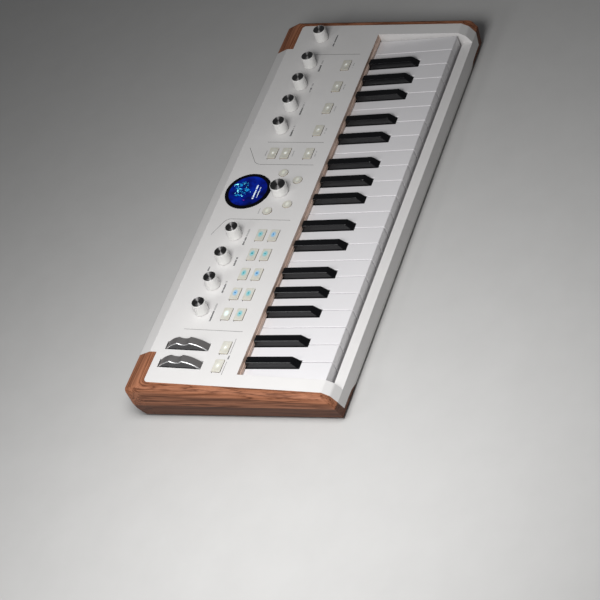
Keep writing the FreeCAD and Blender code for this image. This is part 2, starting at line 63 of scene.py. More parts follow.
# The control panel's own frame: u along X, v up the slope, h square to the surface.
# It is fixed to the navigation encoder's axis, and v is counted from the line over the key fronts.
PANEL_N = Vector(JOINTS["encoder_turn"]["axis"]).normalized()
PANEL_U = Vector((1, 0, 0))
PANEL_V = PANEL_N.cross(PANEL_U)
PANEL_O = Vector(JOINTS["encoder_turn"]["pos_m"])
ENCODER_V = 118.3       # v of the encoder's axis


def axes(x, y, z):
    """Matrix that turns a piece so that its own axes lie along three directions."""
    return Matrix((x, y, z)).transposed().to_4x4()


def on_panel(u, v, h=0.0):
    """Matrix that puts a piece made round its own origin on the panel, u, v and h in millimetres."""
    place = PANEL_O + PANEL_U * (u * MM) + PANEL_V * ((v - ENCODER_V) * MM) + PANEL_N * (h * MM)
    return Matrix.Translation(place) @ axes(PANEL_U, PANEL_V, PANEL_N)


def panel_uv(point):
    """Place on the panel, u and v in millimetres, of a point of the model's frame."""
    d = Vector(point) - PANEL_O
    return d.dot(PANEL_U) / MM, d.dot(PANEL_V) / MM + ENCODER_V


# ---------------------------------------------------------------- mesh helpers

def finish_mesh(name, bm, mats, place=None, angle=35.0, weighted=True):
    """Object from a bmesh, smooth up to an angle, linked to the scene."""
    bmesh.ops.recalc_face_normals(bm, faces=bm.faces)
    mesh = bpy.data.meshes.new(name)
    bm.to_mesh(mesh)
    bm.free()
    mesh.shade_smooth()
    mesh.set_sharp_from_angle(angle=math.radians(angle))
    for mat in mats:
        mesh.materials.append(mat)
    obj = bpy.data.objects.new(name, mesh)
    bpy.context.scene.collection.objects.link(obj)
    if place is not None:
        obj.matrix_world = place
    if weighted:
        mod = obj.modifiers.new("weighted", "WEIGHTED_NORMAL")
        mod.keep_sharp = True
    return obj


def circle(radius, z, count=64):
    """Round loop of points, in millimetres."""
    turn = 2 * math.pi / count
    return [(radius * math.cos(i * turn), radius * math.sin(i * turn), z) for i in range(count)]


def rounded_box(width, length, corner, z):
    """Loop of points of a rectangle with round corners, in millimetres."""
    steps = 5
    points = []
    for sx, sy, start in ((1, 1, 0), (-1, 1, 90), (-1, -1, 180), (1, -1, 270)):
        for i in range(steps + 1):
            a = math.radians(start + 90 * i / steps)
            x = sx * (width / 2 - corner) + corner * math.cos(a)
            y = sy * (length / 2 - corner) + corner * math.sin(a)
            points.append((x, y, z))
    return points


def loft(bm, loops, mat=0, closed=True, bands=()):
    """Skin through loops of the same number of points, in millimetres, closed at both ends.

    Bands give the skin between each pair of loops its own material."""
    rings = [[bm.verts.new(Vector(p) * MM) for p in loop] for loop in loops]
    count = len(rings[0])
    for k, (low, high) in enumerate(zip(rings, rings[1:])):
        for i in range(count):
            j = (i + 1) % count
            face = bm.faces.new((low[i], low[j], high[j], high[i]))
            face.material_index = bands[k] if bands else mat
    if closed:
        bm.faces.new(list(reversed(rings[0]))).material_index = mat
        bm.faces.new(rings[-1]).material_index = mat


def turned(bm, profile, mat=0, count=64):
    """Solid of revolution from (radius, height) pairs, bottom first, in millimetres."""
    loft(bm, [circle(r, z, count) for r, z in profile], mat)


def rounding(radius, z, size, steps=4):
    """Pairs of radius and height of a rounded upper rim that ends at height z."""
    pairs = []
    for i in range(steps + 1):
        a = math.radians(90 * i / steps)
        pairs.append((radius - size + size * math.cos(a), z - size + size * math.sin(a)))
    return pairs


WELD = 0.002 * MM
FLAT_ANGLE = math.radians(0.6)      # neighbouring faces closer than this become one
SHARP_ANGLE = math.radians(28)      # edges sharper than this are softened


def polished(node, body, mats, bevel=0.0, second=None, wide=None):
    """Copy of a CAD node with joined, flattened faces and softened edges, standing for the node.

    Faces for which second is true have the second material. Edges for which wide is true are
    rounded first, by three times the bevel."""
    bm = bmesh.new()
    bm.from_mesh(NODES[node].data)
    bmesh.ops.remove_doubles(bm, verts=bm.verts, dist=WELD)
    bmesh.ops.dissolve_limit(bm, angle_limit=FLAT_ANGLE, verts=bm.verts, edges=bm.edges)
    if wide:
        bmesh.ops.bevel(bm, geom=[e for e in bm.edges if wide(e)], offset=3 * bevel * MM, segments=4,
                        profile=0.5, affect="EDGES", clamp_overlap=True)
    if bevel:
        sharp = [e for e in bm.edges if len(e.link_faces) == 2
                 and e.calc_face_angle(0) > SHARP_ANGLE]
        bmesh.ops.bevel(bm, geom=sharp, offset=bevel * MM, segments=2, profile=0.5,
                        affect="EDGES", clamp_overlap=True)
    for face in bm.faces:
        face.material_index = 1 if second and second(face) else 0
    obj = finish_mesh(node + "_skin", bm, mats)
    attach(obj, body)
    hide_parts(node)


PRINT_H = 0.03      # thickness of printed marks


def ribbon(bm, points, width):
    """Thin printed line along flat points, in millimetres."""
    sides = []
    for i, (x, y) in enumerate(points):
        before = Vector(points[max(i - 1, 0)])
        after = Vector(points[min(i + 1, len(points) - 1)])
        along = (after - before).normalized()
        off = Vector((-along.y, along.x)) * width / 2
        sides.append(((x + off.x, y + off.y), (x - off.x, y - off.y)))
    loops = []
    for left, right in sides:
        loops.append([(*left, 0.0), (*right, 0.0), (*right, PRINT_H), (*left, PRINT_H)])
    loft(bm, loops)


def dashes(bm, u, v, length, height, seed):
    """Row of small blocks that stands for a printed label, with no letters in it."""
    draw = random.Random(seed)
    at = 0.0
    while at < length:
        step = draw.uniform(0.55, 1.1)
        if draw.random() > 0.10:
            tall = height * draw.choice((0.8, 0.8, 1.0))
            middle = v + tall / 2
            ribbon(bm, [(u + at, middle), (u + min(at + step * 0.80, length), middle)], tall)
        at += step


# ---------------------------------------------------------------- materials

class Shader:
    """A Principled material with short calls for the nodes that drive it."""

    def __init__(self, name):
        self.mat = bpy.data.materials.new(name)
        self.mat.use_nodes = True
        self.tree = self.mat.node_tree
        self.bsdf = self.tree.nodes["Principled BSDF"]
        self.coord = self.add("ShaderNodeTexCoord").outputs["Object"]

    def add(self, kind, **values):
        node = self.tree.nodes.new(kind)
        for key, value in values.items():
            setattr(node, key, value)
        return node

    def link(self, out, to):
        self.tree.links.new(out, to)

    def put(self, **values):
        """Set sockets of the shader itself, with _ for a space."""
        for key, value in values.items():
            self.bsdf.inputs[key.replace("_", " ")].default_value = value

    def math(self, operation, a, b=None, c=None):
        node = self.add("ShaderNodeMath", operation=operation)
        for socket, value in zip(node.inputs, (a, b, c)):
            if value is None:
                continue
            if isinstance(value, (int, float)):
                socket.default_value = value
            else:
                self.link(value, socket)
        return node.outputs[0]

    def split(self):
        """X, Y and Z of the piece's own coordinates."""
        node = self.add("ShaderNodeSeparateXYZ")
        self.link(self.coord, node.inputs[0])
        return node.outputs

    def joined(self, *parts):
        """Vector of up to three values."""
        node = self.add("ShaderNodeCombineXYZ")
        for part, socket in zip(parts, node.inputs):
            self.link(part, socket)
        return node.outputs[0]

    def scaled(self, scale, coord):
        node = self.add("ShaderNodeMapping")
        node.inputs["Scale"].default_value = scale
        self.link(coord, node.inputs["Vector"])
        return node.outputs["Vector"]

    def noise(self, scale, detail=2.0, rough=0.5, distortion=0.0, coord=None):
        node = self.add("ShaderNodeTexNoise")
        node.inputs["Scale"].default_value = scale
        node.inputs["Detail"].default_value = detail
        node.inputs["Roughness"].default_value = rough
        node.inputs["Distortion"].default_value = distortion
        self.link(coord or self.coord, node.inputs["Vector"])
        return node.outputs["Fac"]

    def ramp(self, fac, stops):
        """Colour ramp through (position, colour) stops."""
        node = self.add("ShaderNodeValToRGB")
        ramp = node.color_ramp
        while len(ramp.elements) < len(stops):
            ramp.elements.new(0.5)
        for element, (position, colour) in zip(ramp.elements, stops):
            element.position = position
            element.color = (*colour, 1.0)
        self.link(fac, node.inputs["Fac"])
        return node.outputs["Color"]

    def span(self, fac, low, high):
        """Values from 0 to 1 spread from low to high."""
        node = self.add("ShaderNodeMapRange")
        node.inputs["To Min"].default_value = low
        node.inputs["To Max"].default_value = high
        self.link(fac, node.inputs["Value"])
        return node.outputs["Result"]

    def mix(self, fac, a, b):
        node = self.add("ShaderNodeMix", data_type="RGBA")
        for socket, value in ((node.inputs["Factor"], fac), (node.inputs[6], a), (node.inputs[7], b)):
            if isinstance(value, (int, float)):
                socket.default_value = value
            elif isinstance(value, tuple):
                socket.default_value = (*value, 1.0)
            else:
                self.link(value, socket)
        return node.outputs[2]

    def darkened(self, colour, layer, amount):
        """Colour multiplied by a layer, in part or whole."""
        node = self.add("ShaderNodeMix", data_type="RGBA", blend_type="MULTIPLY")
        node.inputs["Factor"].default_value = amount
        self.link(colour, node.inputs[6])
        self.link(layer, node.inputs[7])
        return node.outputs[2]

    def bump(self, height, strength, distance):
        node = self.add("ShaderNodeBump")
        node.inputs["Strength"].default_value = strength
        node.inputs["Distance"].default_value = distance
        self.link(height, node.inputs["Height"])
        self.link(node.outputs["Normal"], self.bsdf.inputs["Normal"])

    def drive(self, socket, out):
        """Let a node's output set a socket of the shader."""
        self.link(out, self.bsdf.inputs[socket])


def moulded(name, light, dark, rough, grain=2600.0, depth=0.02, coat=0.0, **values):
    """Moulded or painted surface: two close tones, a fine texture and uneven gloss."""
    s = Shader(name)
    cloud = s.noise(28.0, 4.0, 0.6)
    s.drive("Base Color", s.ramp(cloud, ((0.3, dark), (0.7, light))))
    gloss = s.noise(190.0, 3.0, 0.6)
    s.drive("Roughness", s.span(gloss, rough - 0.05, rough + 0.06))
    fine = s.noise(grain, 2.0, 0.5)
    s.bump(fine, 0.35, depth * MM)
    s.put(Coat_Weight=coat, Coat_Roughness=0.08, **values)
    return s.mat


WHITE = (1.0, 1.0, 1.0)
CORNER_X, CORNER_Y = 0.2415, 0.0823     # upright line round which a cheek's grain turns the corner
CORNER_SOFT = 0.012
ALONG_GRAIN = 0.022                     # how far the grain is drawn out along the wood
UNDERCUT = 22.1 * MM                    # height of the edge over the undercut, halfway back
UNDERCUT_SLOPE = 0.0168                 # it rises from 20.5 mm at the front to 24 mm at the rear
# softness of the edge of the painted shade on the undercut
SHADE_EDGE = 0.4 * MM


def wood(name, along_x=False, light=(0.44, 0.185, 0.100), mid=(0.32, 0.126, 0.064),
         dark=(0.11, 0.036, 0.016)):
    """Oiled walnut. On the cheeks the grain runs along Y and turns round the rear corner."""
    s = Shader(name)
    x, y, z = s.split()
    if along_x:
        across, along = y, x
    else:
        side = s.math("ABSOLUTE", x)
        out_x = s.math("SUBTRACT", side, CORNER_X)
        out_y = s.math("SUBTRACT", y, CORNER_Y)
        across = s.math("SMOOTH_MAX", out_x, out_y, CORNER_SOFT)
        along = s.math("SUBTRACT", y, side)
    grain = s.joined(across, s.math("MULTIPLY", along, ALONG_GRAIN), z)
    figure = s.noise(260.0, 3.0, 0.5, 0.5, grain)
    rings = s.noise(640.0, 4.0, 0.62, 0.2, grain)
    fibre = s.noise(3000.0, 2.0, 0.7, 0.0, grain)
    colour = s.ramp(figure, ((0.28, mid), (0.42, light), (0.52, mid),
                             (0.555, dark), (0.585, mid), (0.75, light)))
    streak = s.ramp(rings, ((0.36, (0.42, 0.35, 0.30)), (0.47, WHITE),
                            (0.56, WHITE), (0.68, (0.62, 0.55, 0.50))))
    pores = s.ramp(fibre, ((0.33, (0.48, 0.42, 0.38)), (0.46, WHITE)))
    colour = s.darkened(colour, streak, 0.80)
    colour = s.darkened(colour, pores, 0.60)
    if not along_x:
        # painted shade: the wood under the undercut's edge is darkened to stand for the shadow that falls there
        low = s.add("ShaderNodeMapRange", interpolation_type="SMOOTHSTEP")
        low.inputs["From Min"].default_value = UNDERCUT - SHADE_EDGE
        low.inputs["From Max"].default_value = UNDERCUT + SHADE_EDGE
        s.link(s.math("SUBTRACT", z, s.math("MULTIPLY", y, UNDERCUT_SLOPE)), low.inputs["Value"])
        painted_shade = s.ramp(low.outputs["Result"], ((0.0, (0.40, 0.36, 0.34)), (1.0, WHITE)))
        colour = s.darkened(colour, painted_shade, 1.0)
    s.drive("Base Color", colour)
    s.drive("Roughness", s.span(rings, 0.50, 0.68))
    s.bump(fibre, 0.25, 0.06 * MM)
    s.put(Specular_IOR_Level=0.25)
    return s.mat


def spun_metal(name, tone):
    """Dark turned metal, brushed in circles."""
    s = Shader(name)
    x, y, z = s.split()
    radius = s.math("SQRT", s.math("ADD", s.math("MULTIPLY", x, x), s.math("MULTIPLY", y, y)))
    lines = s.noise(9000.0, 2.0, 0.6, 0.0, s.joined(radius))
    dark = tuple(0.72 * c for c in tone)
    s.drive("Base Color", s.ramp(lines, ((0.3, dark), (0.7, tone))))
    s.drive("Roughness", s.span(lines, 0.44, 0.54))
    tangent = s.add("ShaderNodeTangent", direction_type="RADIAL", axis="Z")
    s.link(tangent.outputs[0], s.bsdf.inputs["Tangent"])
    s.put(Metallic=1.0, Anisotropic=0.95, Anisotropic_Rotation=0.25)
    return s.mat


RECT_TOP = 0.7      # height of a rectangular cap over the panel


def silicone(name, glow, strength, centre, reach, tint):
    """Translucent keypad rubber, lit and tinted from inside round a centre given in millimetres."""
    s = Shader(name)
    cloud = s.noise(300.0, 3.0, 0.6)
    rubber = s.ramp(cloud, ((0.3, (0.64, 0.625, 0.55)), (0.7, (0.72, 0.705, 0.635))))
    s.drive("Roughness", s.span(cloud, 0.42, 0.55))
    s.bump(s.noise(2400.0, 2.0), 0.3, 0.02 * MM)
    s.put(Subsurface_Weight=0.25, Subsurface_Scale=0.6 * MM, Specular_IOR_Level=0.4)
    s.bsdf.inputs["Subsurface Radius"].default_value = (1.0, 0.9, 0.7)
    off = s.add("ShaderNodeVectorMath", operation="SUBTRACT")
    s.link(s.coord, off.inputs[0])
    off.inputs[1].default_value = (centre[0] * MM, centre[1] * MM, RECT_TOP * MM)
    squash = s.scaled((1.0, 1.5, 1.0), off.outputs[0])
    length = s.add("ShaderNodeVectorMath", operation="LENGTH")
    s.link(squash, length.inputs[0])
    near = s.math("SUBTRACT", 1.0, s.math("DIVIDE", length.outputs["Value"], reach * MM))
    halo = s.math("POWER", s.math("MAXIMUM", near, 0.0), 1.3)
    s.bsdf.inputs["Emission Color"].default_value = (*glow, 1.0)
    s.drive("Emission Strength", s.math("MULTIPLY", halo, strength))
    tinted = s.math("MINIMUM", s.math("MULTIPLY", halo, 2.2), 0.85)
    s.drive("Base Color", s.mix(tinted, rubber, tint))
    return s.mat


def glowing(name, light, dark, strength):
    """Lit mark seen through a diffuser, a little uneven."""
    s = Shader(name)
    patch = s.noise(900.0, 2.0)
    colour = s.ramp(patch, ((0.35, dark), (0.65, light)))
    s.drive("Base Color", colour)
    s.drive("Emission Color", colour)
    s.put(Emission_Strength=strength, Roughness=0.5)
    return s.mat


PIXEL_WAVE = 9000.0     # radians per metre of the screen's pixel grid


def screen(name):
    """Lit round screen under gloss: deep blue clouds with a fine pixel grid."""
    s = Shader(name)
    x, y, z = s.split()
    depth = s.noise(75.0, 3.0, 0.55)
    blue = s.ramp(depth, ((0.32, (0.0, 0.001, 0.030)), (0.50, (0.0, 0.005, 0.15)),
                          (0.68, (0.0, 0.016, 0.30))))
    rows = s.math("SINE", s.math("MULTIPLY", x, PIXEL_WAVE))
    columns = s.math("SINE", s.math("MULTIPLY", y, PIXEL_WAVE))
    grid = s.span(s.math("MULTIPLY", rows, columns), 0.94, 1.06)
    s.drive("Emission Color", blue)
    s.drive("Emission Strength", grid)
    s.drive("Base Color", s.mix(0.03, (0.001, 0.002, 0.006), blue))
    s.put(Roughness=0.10, Specular_IOR_Level=0.25)
    return s.mat


MATS = {
    "case": moulded("case_white", (0.80, 0.785, 0.775), (0.77, 0.755, 0.745), 0.42, 2600.0, 0.018),
    "base": moulded("base_white", (0.70, 0.69, 0.67), (0.66, 0.65, 0.63), 0.5, 1700.0, 0.05),
    "walnut": wood("walnut"),
    "trim": wood("walnut_trim", along_x=True, light=(0.90, 0.71, 0.61), mid=(0.81, 0.61, 0.51),
                 dark=(0.60, 0.42, 0.33)),
    "rubber": moulded("foot_rubber", (0.030, 0.030, 0.031), (0.018, 0.018, 0.019), 0.75, 1500.0, 0.06),
    "steel": moulded("screw_steel", (0.30, 0.30, 0.31), (0.20, 0.20, 0.21), 0.35, 3000.0, 0.01,
                     Metallic=1.0),
    "chassis": moulded("chassis_grey", (0.06, 0.06, 0.065), (0.04, 0.04, 0.045), 0.6, 1800.0, 0.04),
    "board": moulded("connector_black", (0.020, 0.021, 0.022), (0.012, 0.012, 0.013), 0.45, 2200.0, 0.02),
    "bezel": moulded("display_black", (0.003, 0.003, 0.004), (0.002, 0.002, 0.003), 0.12, 4000.0, 0.0005,
                     Specular_IOR_Level=0.2),
    "screen": screen("display_screen"),
    "art_bright": glowing("screen_art_bright", (0.30, 0.95, 1.0), (0.05, 0.60, 0.80), 1.0),
    "art_mid": glowing("screen_art_mid", (0.01, 0.26, 0.50), (0.0, 0.10, 0.32), 0.95),
    "art_dim": glowing("screen_art_dim", (0.0, 0.035, 0.14), (0.0, 0.003, 0.05), 0.80),
    "art_pink": glowing("screen_art_pink", (0.45, 0.02, 0.45), (0.30, 0.01, 0.34), 0.90),
    "wheel": moulded("wheel_grip", (0.150, 0.142, 0.140), (0.105, 0.100, 0.098), 0.42, 1900.0, 0.05),
    "wheel_rim": moulded("wheel_rim_metal", (0.96, 0.96, 0.97), (0.90, 0.90, 0.91), 0.38, 3000.0, 0.001,
                         Metallic=1.0),
    "wheel_side": moulded("wheel_side_black", (0.030, 0.030, 0.032), (0.020, 0.020, 0.022), 0.22,
                          3000.0, 0.006),
    "knob": moulded("knob_white", (0.86, 0.85, 0.83), (0.83, 0.82, 0.80), 0.30, 2800.0, 0.006, 0.25),
    "cap": spun_metal("knob_cap_metal", (0.36, 0.35, 0.35)),
    "nut": moulded("nut_steel", (0.62, 0.62, 0.63), (0.50, 0.50, 0.51), 0.22, 3000.0, 0.01,
                   Metallic=1.0),
    "white_key": moulded("key_white", (0.83, 0.815, 0.83), (0.805, 0.79, 0.805), 0.30, 3200.0, 0.004, 0.3),
    "black_key": moulded("key_black", (0.0050, 0.0050, 0.0060), (0.0035, 0.0035, 0.0045), 0.20,
                         3200.0, 0.0010, Specular_IOR_Level=0.4),
    "ink": moulded("print_dark", (0.10, 0.10, 0.105), (0.07, 0.07, 0.075), 0.6, 2600.0, 0.01),
    "ink_line": moulded("print_grey", (0.20, 0.195, 0.19), (0.16, 0.155, 0.15), 0.6, 2600.0, 0.01),
    "ink_pale": moulded("print_pale", (0.48, 0.475, 0.47), (0.42, 0.415, 0.41), 0.6, 2600.0, 0.01),
    # darker side walls of the caps: painted shade standing for the shade that falls on them
    "wall": moulded("button_side_painted_shade", (0.42, 0.36, 0.29), (0.34, 0.29, 0.23), 0.5, 2400.0, 0.02),
    "button_lit": silicone("button_silicone_lit", (1.0, 0.99, 0.92), 0.14, (0.0, 0.0), 3.6,
                           (0.80, 0.81, 0.72)),
    "pad_teal": silicone("pad_silicone_teal", (0.20, 0.62, 0.68), 0.30, (0.9, 0.4), 4.6,
                         (0.20, 0.54, 0.60)),
    "pad_blue": silicone("pad_silicone_blue", (0.25, 0.58, 0.90), 0.30, (0.9, 0.4), 4.6,
                         (0.26, 0.52, 0.76)),
    "pad_white": silicone("pad_silicone_white", (0.85, 1.0, 0.96), 0.35, (0.4, 0.3), 4.8,
                          (0.82, 0.92, 0.88)),
    "glyph_teal": glowing("glyph_teal", (0.02, 0.26, 0.32), (0.04, 0.34, 0.40), 0.20),
    "glyph_blue": glowing("glyph_blue", (0.03, 0.17, 0.42), (0.05, 0.24, 0.50), 0.20),
    "glyph_white": glowing("glyph_white", (0.93, 0.95, 0.94), (0.84, 0.87, 0.86), 0.28),
    "bar_white": glowing("screen_bar_white", (0.80, 0.90, 0.95), (0.60, 0.76, 0.88), 0.55),
    "floor": moulded("floor_paper", (0.60, 0.595, 0.585), (0.58, 0.575, 0.565), 0.75, 900.0, 0.05),
}

# ---------------------------------------------------------------- case, cheeks, keys

TRIM_FRONT = min(v.co.y for v in NODES["panel_trim"].data.vertices)
EDGE_SET_BACK = 0.4 * MM
NEAR = 0.1 * MM


def over_the_keys(face):
    """Edge of the panel that faces the player over the keys, wood like the trim under it."""
    off = face.calc_center_median().y - (TRIM_FRONT + EDGE_SET_BACK)
    return face.normal.y < -0.9 and abs(off) < NEAR


polished("top_case", "case", [MATS["case"], MATS["trim"]], second=over_the_keys)
# node, material and bevel in millimetres
POLISHED = (("bottom_case", "base", 0.0), ("left_cheek", "walnut", 0.25),
            ("right_cheek", "walnut", 0.25), ("panel_trim", "trim", 0.25), ("feet", "rubber", 0.3),
            ("key_frame", "chassis", 0.0), ("circuit_boards", "board", 0.0), ("screws", "steel", 0.15))
for node, mat, bevel in POLISHED:
    polished(node, "case", [MATS[mat]], bevel)

WHITE_BEVEL, BLACK_BEVEL = 0.28, 0.35
WHITE_FRONT = min(v.co.y for v in NODES["white_key_c1"].data.vertices)


def front_corner(edge):
    """Upright edge at the front of a white key."""
    ends = [v.co for v in edge.verts]
    upright = abs(ends[0].z - ends[1].z) > 5 * MM and abs(ends[0].x - ends[1].x) < NEAR
    return upright and max(v.y for v in ends) < WHITE_FRONT + 0.5 * MM


for node in sorted(NODES):
    if node.startswith("white_key"):
        polished(node, node, [MATS["white_key"]], WHITE_BEVEL, wide=front_corner)
    elif node.startswith("black_key"):
        polished(node, node, [MATS["black_key"]], BLACK_BEVEL)


# ---------------------------------------------------------------- knobs

KNOB_R, KNOB_H, KNOB_CAP_R = 6.9, 13.0, 6.2
ENCODER_R, ENCODER_H, ENCODER_CAP_R = 8.4, 10.4, 7.6
KNOB_FOOT = 0.7         # gap between a knob and the panel
SHAFT_R, BOARD_H = 3.0, -6.2
CAP_SINK = 0.35         # depth of the ring-shaped groove round the metal cap


def knob(node, centre, radius, height, cap_radius):
    """Turned white body with a rounded foot and a spun metal cap let into its top."""
    place = on_panel(*panel_uv(centre))
    bm = bmesh.new()
    profile = [(radius - 1.2, KNOB_FOOT), (radius - 0.15, KNOB_FOOT), (radius, KNOB_FOOT + 0.18),
               (radius, KNOB_FOOT + 0.5)]
    profile += rounding(radius - 0.35, height, 0.45)
    profile += [(cap_radius + 0.12, height), (cap_radius + 0.06, height - CAP_SINK),
                (SHAFT_R, height - CAP_SINK)]
    turned(bm, profile)
    turned(bm, [(SHAFT_R, BOARD_H), (SHAFT_R, KNOB_FOOT)], 1, 32)
    body = finish_mesh(node + "_body", bm, [MATS["knob"], MATS["steel"]], place)
    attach(body, node)
    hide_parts(node)
    bm = bmesh.new()
    crown = height + 0.05
    dome = [(cap_radius * f, crown + 0.06 * (1 - f)) for f in (0.75, 0.5, 0.25, 0.06)]
    turned(bm, [(cap_radius, height - 0.5)] + rounding(cap_radius, crown, 0.22, 3) + dome)
    cap = finish_mesh(node + "_cap", bm, [MATS["cap"]], place)
    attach(cap, node)


for name, joint in JOINTS.items():
    node = joint["child"]
    if "knob" in node:
        knob(node, joint["pos_m"], KNOB_R, KNOB_H, KNOB_CAP_R)
knob("navigation_encoder", JOINTS["encoder_turn"]["pos_m"], ENCODER_R, ENCODER_H, ENCODER_CAP_R)


# ---------------------------------------------------------------- wheels

def wheel(node):
    """Half disc with a finger hollow, bright turned edges, dark sides, hub and axle."""
    joint = JOINTS[node + "_turn"]
    radius, width, rim = 28.6, 8.6, 0.8
    hollow, hollow_v, hollow_h = 9.0, 1.9, radius + 6.2     # radius and centre of the finger hollow
    foot_v, foot_h = 12.0, 0.6
    steps = 120
    grip, edge, side = range(3)
    bm = bmesh.new()

    def outline(shrink, x):
        """Loop of points of the half disc with its hollow, drawn in by shrink."""
        points = []
        for i in range(steps + 1):
            a = math.radians(2.0 + 176.0 * i / steps)
            r = radius - shrink
            reach = hollow_v * math.cos(a) + hollow_h * math.sin(a)
            chord = (hollow + shrink) ** 2 - hollow_v ** 2 - hollow_h ** 2 + reach ** 2
            if chord > 0 and reach > 0:
                r = min(r, reach - math.sqrt(chord))
            points.append((x, r * math.cos(a), r * math.sin(a)))
        points += [(x, -foot_v, foot_h + shrink), (x, foot_v, foot_h + shrink)]
        return points

    loops = []
    for i in range(4):
        a = math.radians(90 * i / 3)
        loops.append(outline(rim * (1 - math.sin(a)), -width / 2 + rim * (1 - math.cos(a))))
    loops += [[(-x, y, z) for x, y, z in loop] for loop in reversed(loops)]
    loft(bm, loops, mat=side, bands=(edge, edge, edge, grip, edge, edge, edge))
    spin = Matrix.Rotation(math.radians(90), 4, "Y")
    place = Matrix.Translation(Vector(joint["pos_m"])) @ axes(PANEL_U, PANEL_V, PANEL_N)
    looks = [MATS["wheel"], MATS["wheel_rim"], MATS["wheel_side"]]
    obj = finish_mesh(node + "_rim", bm, looks, place, 40.0)
    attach(obj, node)
    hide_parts(node)
    bm = bmesh.new()
    turned(bm, [(2.0, -9.0), (2.0, -4.4), (5.0, -4.4), (5.0, 4.4), (2.0, 4.4), (2.0, 9.0)], count=48)
    axle = finish_mesh(node + "_axle", bm, [MATS["wheel_side"]], place @ spin)
    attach(axle, node)


wheel("pitch_wheel")
wheel("mod_wheel")


# ---------------------------------------------------------------- buttons and pads

BUTTON_W, BUTTON_L, BUTTON_CORNER, ROUND_R = 14.6, 8.8, 0.9, 4.7
ROUND_TOP = 0.8
FLANGE, FLANGE_LOW, FLANGE_TOP = 1.0, -4.4, -3.0    # rim of a cap under the panel
KNOB_STEP, PAD_STEP, PAD_ROW, FX_STEP = 31.9, 24.9, 13.5, 31.7
MACRO_U = panel_uv(JOINTS["macro_knob_1_turn"]["pos_m"])[0] + 1.5 * KNOB_STEP
FX_U = panel_uv(JOINTS["fx_knob_1_turn"]["pos_m"])[0] + 1.5 * KNOB_STEP
BUTTON_V = 106.1
OCTAVE_V = BUTTON_V + 0.4
OCTAVE_U = [panel_uv(JOINTS[n + "_turn"]["pos_m"])[0] + 0.3 for n in ("pitch_wheel", "mod_wheel")]
TRANSPORT_U = 52.7
ROUND_AT = ((25.7, 123.8), (16.4, 105.9), (-16.4, 105.9), (-25.7, 123.8))
BLUE_PADS = ((1, 1), (2, 0), (4, 0))
CAP_BANDS = (1, 1, 1, 0, 0, 0, 0)      # flange and side, which carry painted shade, then the rounded rim


def glyph(kind, u, v, mat, name, half_turn=False):
    """Small lit mark on a button: a dot, a bar, a triangle or a square."""
    outlines = {"dot": lambda z: circle(0.85, z, 24),
                "bar": lambda z: rounded_box(2.6, 1.0, 0.4, z),
                "triangle": lambda z: circle(1.35, z, 3),
                "square": lambda z: rounded_box(1.9, 1.9, 0.3, z)}
    bm = bmesh.new()
    loft(bm, [outlines[kind](0.0), outlines[kind](PRINT_H)])
    spin = Matrix.Rotation(math.pi if half_turn else 0.0, 4, "Z")
    obj = finish_mesh(name, bm, [MATS[mat]], on_panel(u, v, RECT_TOP) @ spin, weighted=False)
    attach(obj, "button_caps")


def button(name, loops, u, v, mat):
    """Cap of the keypad through the given loops, its sides darkened with painted shade."""
    bm = bmesh.new()
    loft(bm, loops, bands=CAP_BANDS)
    obj = finish_mesh(name, bm, [MATS[mat], MATS["wall"]], on_panel(u, v))
    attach(obj, "button_caps")
    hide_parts("button_caps")


def rect_cap(name, u, v, mat):
    """Flat cap with round corners and a soft upper rim."""
    w, l, soft = BUTTON_W, BUTTON_L, 0.25
    flange_w, flange_l, flange_corner = w + 2 * FLANGE, l + 2 * FLANGE, 1.2
    loops = [rounded_box(flange_w, flange_l, flange_corner, FLANGE_LOW),
             rounded_box(flange_w, flange_l, flange_corner, FLANGE_TOP),
             rounded_box(w, l, BUTTON_CORNER, FLANGE_TOP)]
    for grow, z in rounding(0.0, RECT_TOP, soft):
        loops.append(rounded_box(w + 2 * grow, l + 2 * grow, BUTTON_CORNER + grow, z))
    button(name, loops, u, v, mat)


def round_cap(name, u, v, mat):
    """Round cap with a soft upper rim."""
    outer = ROUND_R + FLANGE
    profile = [(outer, FLANGE_LOW), (outer, FLANGE_TOP), (ROUND_R, FLANGE_TOP)]
    profile += rounding(ROUND_R, ROUND_TOP, 0.35)
    button(name, [circle(r, z, 48) for r, z in profile], u, v, mat)


led_spots = [(u, OCTAVE_V) for u in OCTAVE_U]
for i, u in enumerate(OCTAVE_U):
    rect_cap("octave_button_%d" % (i + 1), u, OCTAVE_V, "button_lit")
    glyph("triangle", u, OCTAVE_V, "glyph_white", "octave_glyph_%d" % (i + 1), half_turn=i == 0)
for i in range(5):
    for j in range(2):
        u, v = MACRO_U + (i - 2) * PAD_STEP, BUTTON_V + j * PAD_ROW
        name = "pad_%d_%d" % (i + 1, j + 1)
        first = i == 0 and j == 1
        tone = "blue" if (i, j) in BLUE_PADS else "teal"
        rect_cap(name, u, v, "pad_white" if first else "pad_" + tone)
        if not first:
            kind = ("dot", "square", "bar")[(2 * i + j) % 3]
            glyph(kind, u + 1.0, v + 0.5, "glyph_" + tone, name + "_mark")
        led_spots.append((u, v))
for i in range(4):
    u = FX_U - 0.6 + (i - 1.5) * FX_STEP
    rect_cap("fx_button_%d" % (i + 1), u, BUTTON_V, "button_lit")
    led_spots.append((u, BUTTON_V))
    glyph("dot", u + 1.0, BUTTON_V, "glyph_white", "fx_glyph_%d" % (i + 1))
for i, (v, kind) in enumerate(((BUTTON_V, "triangle"), (130.6, "square"), (144.2, "dot"))):
    rect_cap("transport_button_%d" % (i + 1), TRANSPORT_U, v, "button_lit")
    led_spots.append((TRANSPORT_U, v))
    glyph(kind, TRANSPORT_U, v, "glyph_white", "transport_glyph_%d" % (i + 1))
for i, (u, v) in enumerate(ROUND_AT):
    round_cap("round_button_%d" % (i + 1), u, v, "button_lit")

